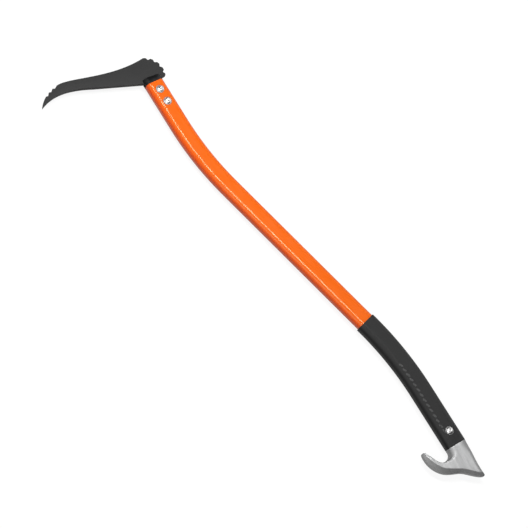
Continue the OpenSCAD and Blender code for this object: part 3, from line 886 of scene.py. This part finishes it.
def fastener(name, node, station, side, below_head, finish, turn):
    """Domed head with a hexagon socket, and below it the profile of its shank or barrel."""
    bm = bmesh.new()
    socket_r = SOCKET_FLATS / 2 / math.cos(math.radians(30))
    rim = [(HEAD_R, HEAD_CHAMFER), (HEAD_R - HEAD_CHAMFER, 0)]
    lathed(bm, dome_profile(socket_r + SOCKET_LAND) + rim + below_head)
    mouth = [e for e in bm.edges if e.is_boundary]
    mouth_r = socket_r + HEAD_CHAMFER
    hexagon = bmesh.ops.create_circle(bm, segments=6, radius=mouth_r, cap_ends=False)["verts"]
    sides = list(dict.fromkeys(e for v in hexagon for e in v.link_edges))
    bmesh.ops.translate(bm, verts=hexagon, vec=(0, 0, HEAD_H))
    bmesh.ops.rotate(bm, verts=hexagon, cent=(0, 0, 0), matrix=Matrix.Rotation(turn, 3, "Z"))
    bmesh.ops.bridge_loops(bm, edges=mouth + sides)
    chamfer_end = (socket_r, HEAD_H - HEAD_CHAMFER)
    wall_end = (socket_r, HEAD_H - SOCKET_DEPTH)
    drill_point = (0.2 * socket_r, SOCKET_FLOOR)
    for radius, height in (chamfer_end, wall_end, drill_point):
        sides = edges_in(bmesh.ops.extrude_edge_only(bm, edges=sides)["geom"])
        ring = ends_of(sides)
        now = max(v.co.xy.length for v in ring)
        bmesh.ops.scale(bm, verts=ring, vec=(radius / now, radius / now, 1))
        bmesh.ops.translate(bm, verts=ring, vec=(0, 0, height - ring[0].co.z))
    bmesh.ops.contextual_create(bm, geom=sides)
    seated(bm, station, side, TUBE_T / 2 + WASHER_T)
    finished_piece(bm, name, finish, node, smooth_to=32)


def washer(name, node, station, side, finish):
    """Washer with rounded edges against one face of the tube."""
    hole_r = (SHANK_R if side > 0 else BARREL_R) + HOLE_FIT
    edge = WASHER_EDGE
    flat_r = WASHER_R - edge
    quarter = [math.radians(a) for a in (0, 30, 60, 90)]
    outer_low = [(flat_r + edge * math.sin(a), edge - edge * math.cos(a)) for a in quarter]
    outer_top = [(flat_r + edge * math.cos(a), WASHER_T - edge + edge * math.sin(a)) for a in quarter]
    bm = bmesh.new()
    lathed(bm, [(hole_r, 0)] + outer_low + outer_top + [(hole_r, WASHER_T), (hole_r, 0)])
    seated(bm, station, side, TUBE_T / 2)
    finished_piece(bm, name, finish, node)


def build_fasteners():
    """Screws, sleeve nuts and washers at the three stations."""
    seat = TUBE_T / 2 + WASHER_T

    # The shank ends 2 mm inside the tube's back, and the barrel just short of the step in the hole
    shank_end = 2 * MM - seat * 2 + WASHER_T
    point = 0.6 * MM
    shank = [(SHANK_R, 0), (SHANK_R, shank_end + point), (SHANK_R - point, shank_end), (0, shank_end)]
    barrel_end = -(seat + BLADE_T / 2 - HOLE_FIT)
    chamfer = 0.4 * MM
    barrel = [(BARREL_R, 0), (BARREL_R, barrel_end + chamfer), (BARREL_R - chamfer, barrel_end)]
    barrel += [(BORE_R, barrel_end), (BORE_R, -WASHER_T), (0, -WASHER_T)]
    sites = (("head-upper", "head_screw_upper", "head_nut_upper", "washer_upper", UPPER_SCREW),
             ("head-lower", "head_screw_lower", "head_nut_lower", "washer_lower", LOWER_SCREW),
             ("grip", "grip_screw", "grip_nut", "washer_grip", GRIP_SCREW))
    for number, (place, screw_node, nut_node, washer_node, station) in enumerate(sites):
        bright = turned_steel("screw-" + place + "-steel", HEAD + station, shade=0.74, roughness=0.16)
        # Painted shade: the washers' steel is darkened, so that they show as a dark ring round each screw
        # head.
        shade_darkened_steel = turned_steel("washer-" + place + "-steel", HEAD + station, shade=0.20, roughness=0.38)
        turn = math.radians(12 + 23 * number)
        fastener("screw-" + place, screw_node, station, 1, shank, bright, turn)
        fastener("nut-" + place, nut_node, station, -1, barrel, bright, -turn)
        washer("washer-" + place + "-front", washer_node + "_front", station, 1, shade_darkened_steel)
        washer("washer-" + place + "-back", washer_node + "_back", station, -1, shade_darkened_steel)


def seen_directly(tree):
    """1 for camera, glossy and transmission rays, which see the background itself."""
    path = tree.nodes.new("ShaderNodeLightPath")
    total = path.outputs["Is Camera Ray"]
    for ray in ("Is Glossy Ray", "Is Transmission Ray"):
        add = tree.nodes.new("ShaderNodeMath")
        add.operation = "MAXIMUM"
        tree.links.new(total, add.inputs[0])
        tree.links.new(path.outputs[ray], add.inputs[1])
        total = add.outputs[0]
    return total


def flat_sheet(name, material, half_width=0.5, divisions=1):
    """Square sheet round its own middle, a metre wide unless it is told otherwise."""
    bm = bmesh.new()
    bmesh.ops.create_grid(bm, x_segments=divisions, y_segments=divisions, size=half_width)
    mesh = mesh_from(bm, name)
    mesh.materials.append(material)
    return placed(name, mesh)


def pale_floor():
    """White studio floor that keeps the tool's soft shadow."""
    material = plain_material("studio-floor", Base_Color=grey(0.18), Roughness=0.9,
                              Specular_IOR_Level=0.0, Emission_Color=grey(1.0))
    tree = material.node_tree
    lift = tree.nodes.new("ShaderNodeMath")
    lift.operation = "MULTIPLY"
    lift.inputs[1].default_value = 0.87
    tree.links.new(seen_directly(tree), lift.inputs[0])
    tree.links.new(lift.outputs[0], tree.nodes["Principled BSDF"].inputs["Emission Strength"])
    floor = flat_sheet("floor", material, half_width=12, divisions=8)


def pale_world():
    """World that is white where it is seen, and only a soft light where it lights the tool."""
    world = bpy.data.worlds.new("studio")
    bpy.context.scene.world = world
    world.use_nodes = True
    tree = world.node_tree
    level = tree.nodes.new("ShaderNodeMapRange")
    tree.links.new(seen_directly(tree), level.inputs["Value"])
    level.inputs["To Min"].default_value = 0.24
    level.inputs["To Max"].default_value = 1.0
    sky = tree.nodes["Background"]
    sky.inputs["Color"].default_value = grey(1.0)
    tree.links.new(level.outputs["Result"], sky.inputs["Strength"])


def aimed(thing, place, target):
    """Stands a lamp or a card at a place and turns it towards a target."""
    thing.location = place
    thing.rotation_euler = (target - place).to_track_quat("-Z", "Y").to_euler()


def soft_lamp(name, offset, width, length, level):
    """Softbox that lights a white surface facing it, in the lit middle, to the given level."""
    place = LIT_MIDDLE + Vector(offset)
    lamp = bpy.data.lights.new(name, "AREA")
    lamp.shape = "RECTANGLE"
    lamp.size = width
    lamp.size_y = length
    lamp.energy = level * math.pi ** 2 * (LIT_MIDDLE - place).length ** 2
    holder = placed(name, lamp)
    aimed(holder, place, LIT_MIDDLE)
    return holder


def hung_strip(name, offset, width, length, level, turn):
    """Long lamp that hangs level over the tool, turned by an angle in degrees."""
    strip = soft_lamp(name, offset, width, length, level)
    strip.rotation_euler = (0, 0, math.radians(turn))
    return strip


def dark_card(name, offset, width, height, target=(0, 0, 0)):
    """Black card that faces a target beside the lit middle, and that only reflections show."""
    card = flat_sheet(name, plain_material(name, Base_Color=grey(0.03)))
    card.scale = (width, height, 1)
    aimed(card, LIT_MIDDLE + Vector(offset), LIT_MIDDLE + Vector(target))
    card.visible_camera = False
    card.visible_shadow = False
    card.visible_diffuse = False


def studio_lights():
    """One strip and two softboxes, and three cards that darken what the gloss and the metal mirror."""
    hung_strip("strip-over", (0, 0.50, 1.5), width=0.16, length=1.45, level=0.75, turn=36)
    soft_lamp("softbox-left", (-1.5, -0.3, 1.35), width=0.9, length=1.2, level=0.24)
    soft_lamp("softbox-right", (1.9, -0.3, 1.3), width=0.9, length=1.2, level=0.08)
    dark_card("card-tail", (0.3, -1.6, 0.4), width=3.5, height=1.2)
    dark_card("card-head", (0.3, 1.9, 0.5), width=3.5, height=1.2)
    dark_card("card-over", (1.0, 0.4, 2.2), width=2.0, height=2.8, target=(1.0, 0.4, 0))


def tube_strip(tube):
    """Narrow lamp that only the tube's gloss shows, as a line along its rounded corner."""
    strip = hung_strip("strip-tube", (0.33, 0.41, 1.5), width=0.12, length=1.25, level=0.95, turn=10)
    strip.visible_diffuse = False
    lit = bpy.data.collections.new("tube-gloss")
    lit.objects.link(tube)
    strip.light_linking.receiver_collection = lit


def camera():
    """Camera that stands where the photograph was taken from, as fitted to it."""
    data = bpy.data.cameras.new("camera")
    data.sensor_width = 36
    data.lens = 106.204
    holder = placed("camera", data)
    holder.location = (-0.88270, -0.40117, 2.09061)
    holder.rotation_euler = [math.radians(a) for a in (21.501, -14.519, -32.494)]
    bpy.context.scene.camera = holder


camera()
pale_world()
pale_floor()
studio_lights()
bpy.context.scene.view_settings.view_transform = "Standard"

nylon = moulded_nylon()
pick_blade()
liner_half(1, "liner-front", "liner_front", nylon)
liner_half(-1, "liner-back", "liner_back", nylon)
tube_strip(handle_tube())
grip_sleeve()
pommel_hook()
build_fasteners()
